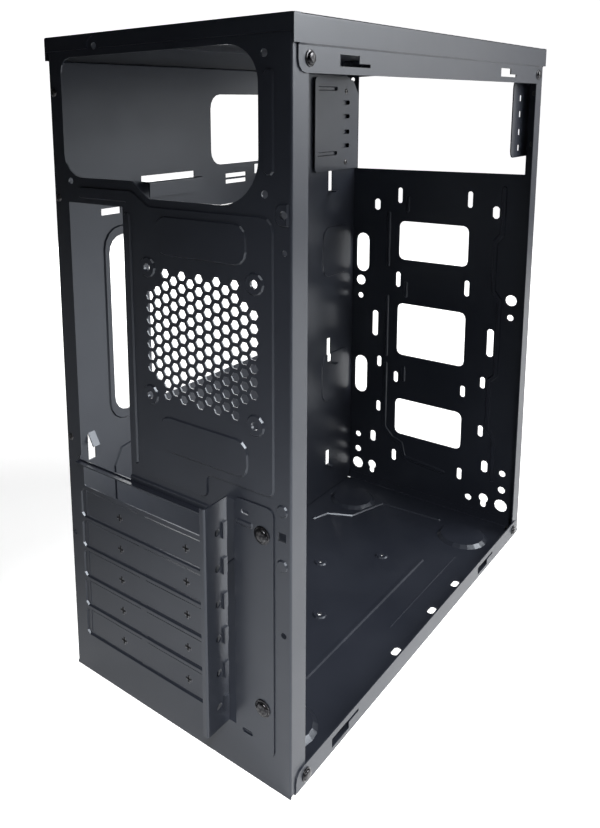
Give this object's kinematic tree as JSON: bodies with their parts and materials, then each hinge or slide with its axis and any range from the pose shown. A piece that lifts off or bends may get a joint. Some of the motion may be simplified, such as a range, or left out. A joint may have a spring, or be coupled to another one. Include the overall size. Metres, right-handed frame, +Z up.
{
  "type": "atx pc case",
  "caption": "Bare sheet-steel tower chassis with folded posts, power supply, connector and drive openings, card slots and a set-in mainboard wall.",
  "frame": {"origin": "middle of the footprint's bounding box, on the surface that the chassis stands on", "axes": "+Z up, +Y towards the rear wall, +X towards the mainboard wall; the open access side faces -X"},
  "size_m": [0.1736, 0.3589, 0.398],
  "materials": {
    "sheet_steel": "thin satin black coat",
    "screw_steel": "blackened steel, worn bright at the edges",
    "rivet_steel": "dull grey"
  },
  "bodies": {
    "root": {"rear_panel": "sheet_steel", "top_cover": "sheet_steel", "base_pan": "sheet_steel", "front_panel": "sheet_steel", "board_tray": "sheet_steel", "bay_bracket_access": "sheet_steel", "bay_bracket_board": "sheet_steel", "slot_cover_plate": "sheet_steel", "slot_plate_screws": "screw_steel", "rail_screws_access": "screw_steel", "rail_screws_board": "screw_steel", "tray_rear_rivets": "rivet_steel", "tray_front_rivets": "rivet_steel", "bay_access_rivets": "rivet_steel", "bay_board_rivets": "rivet_steel"}
  },
  "joints": []
}
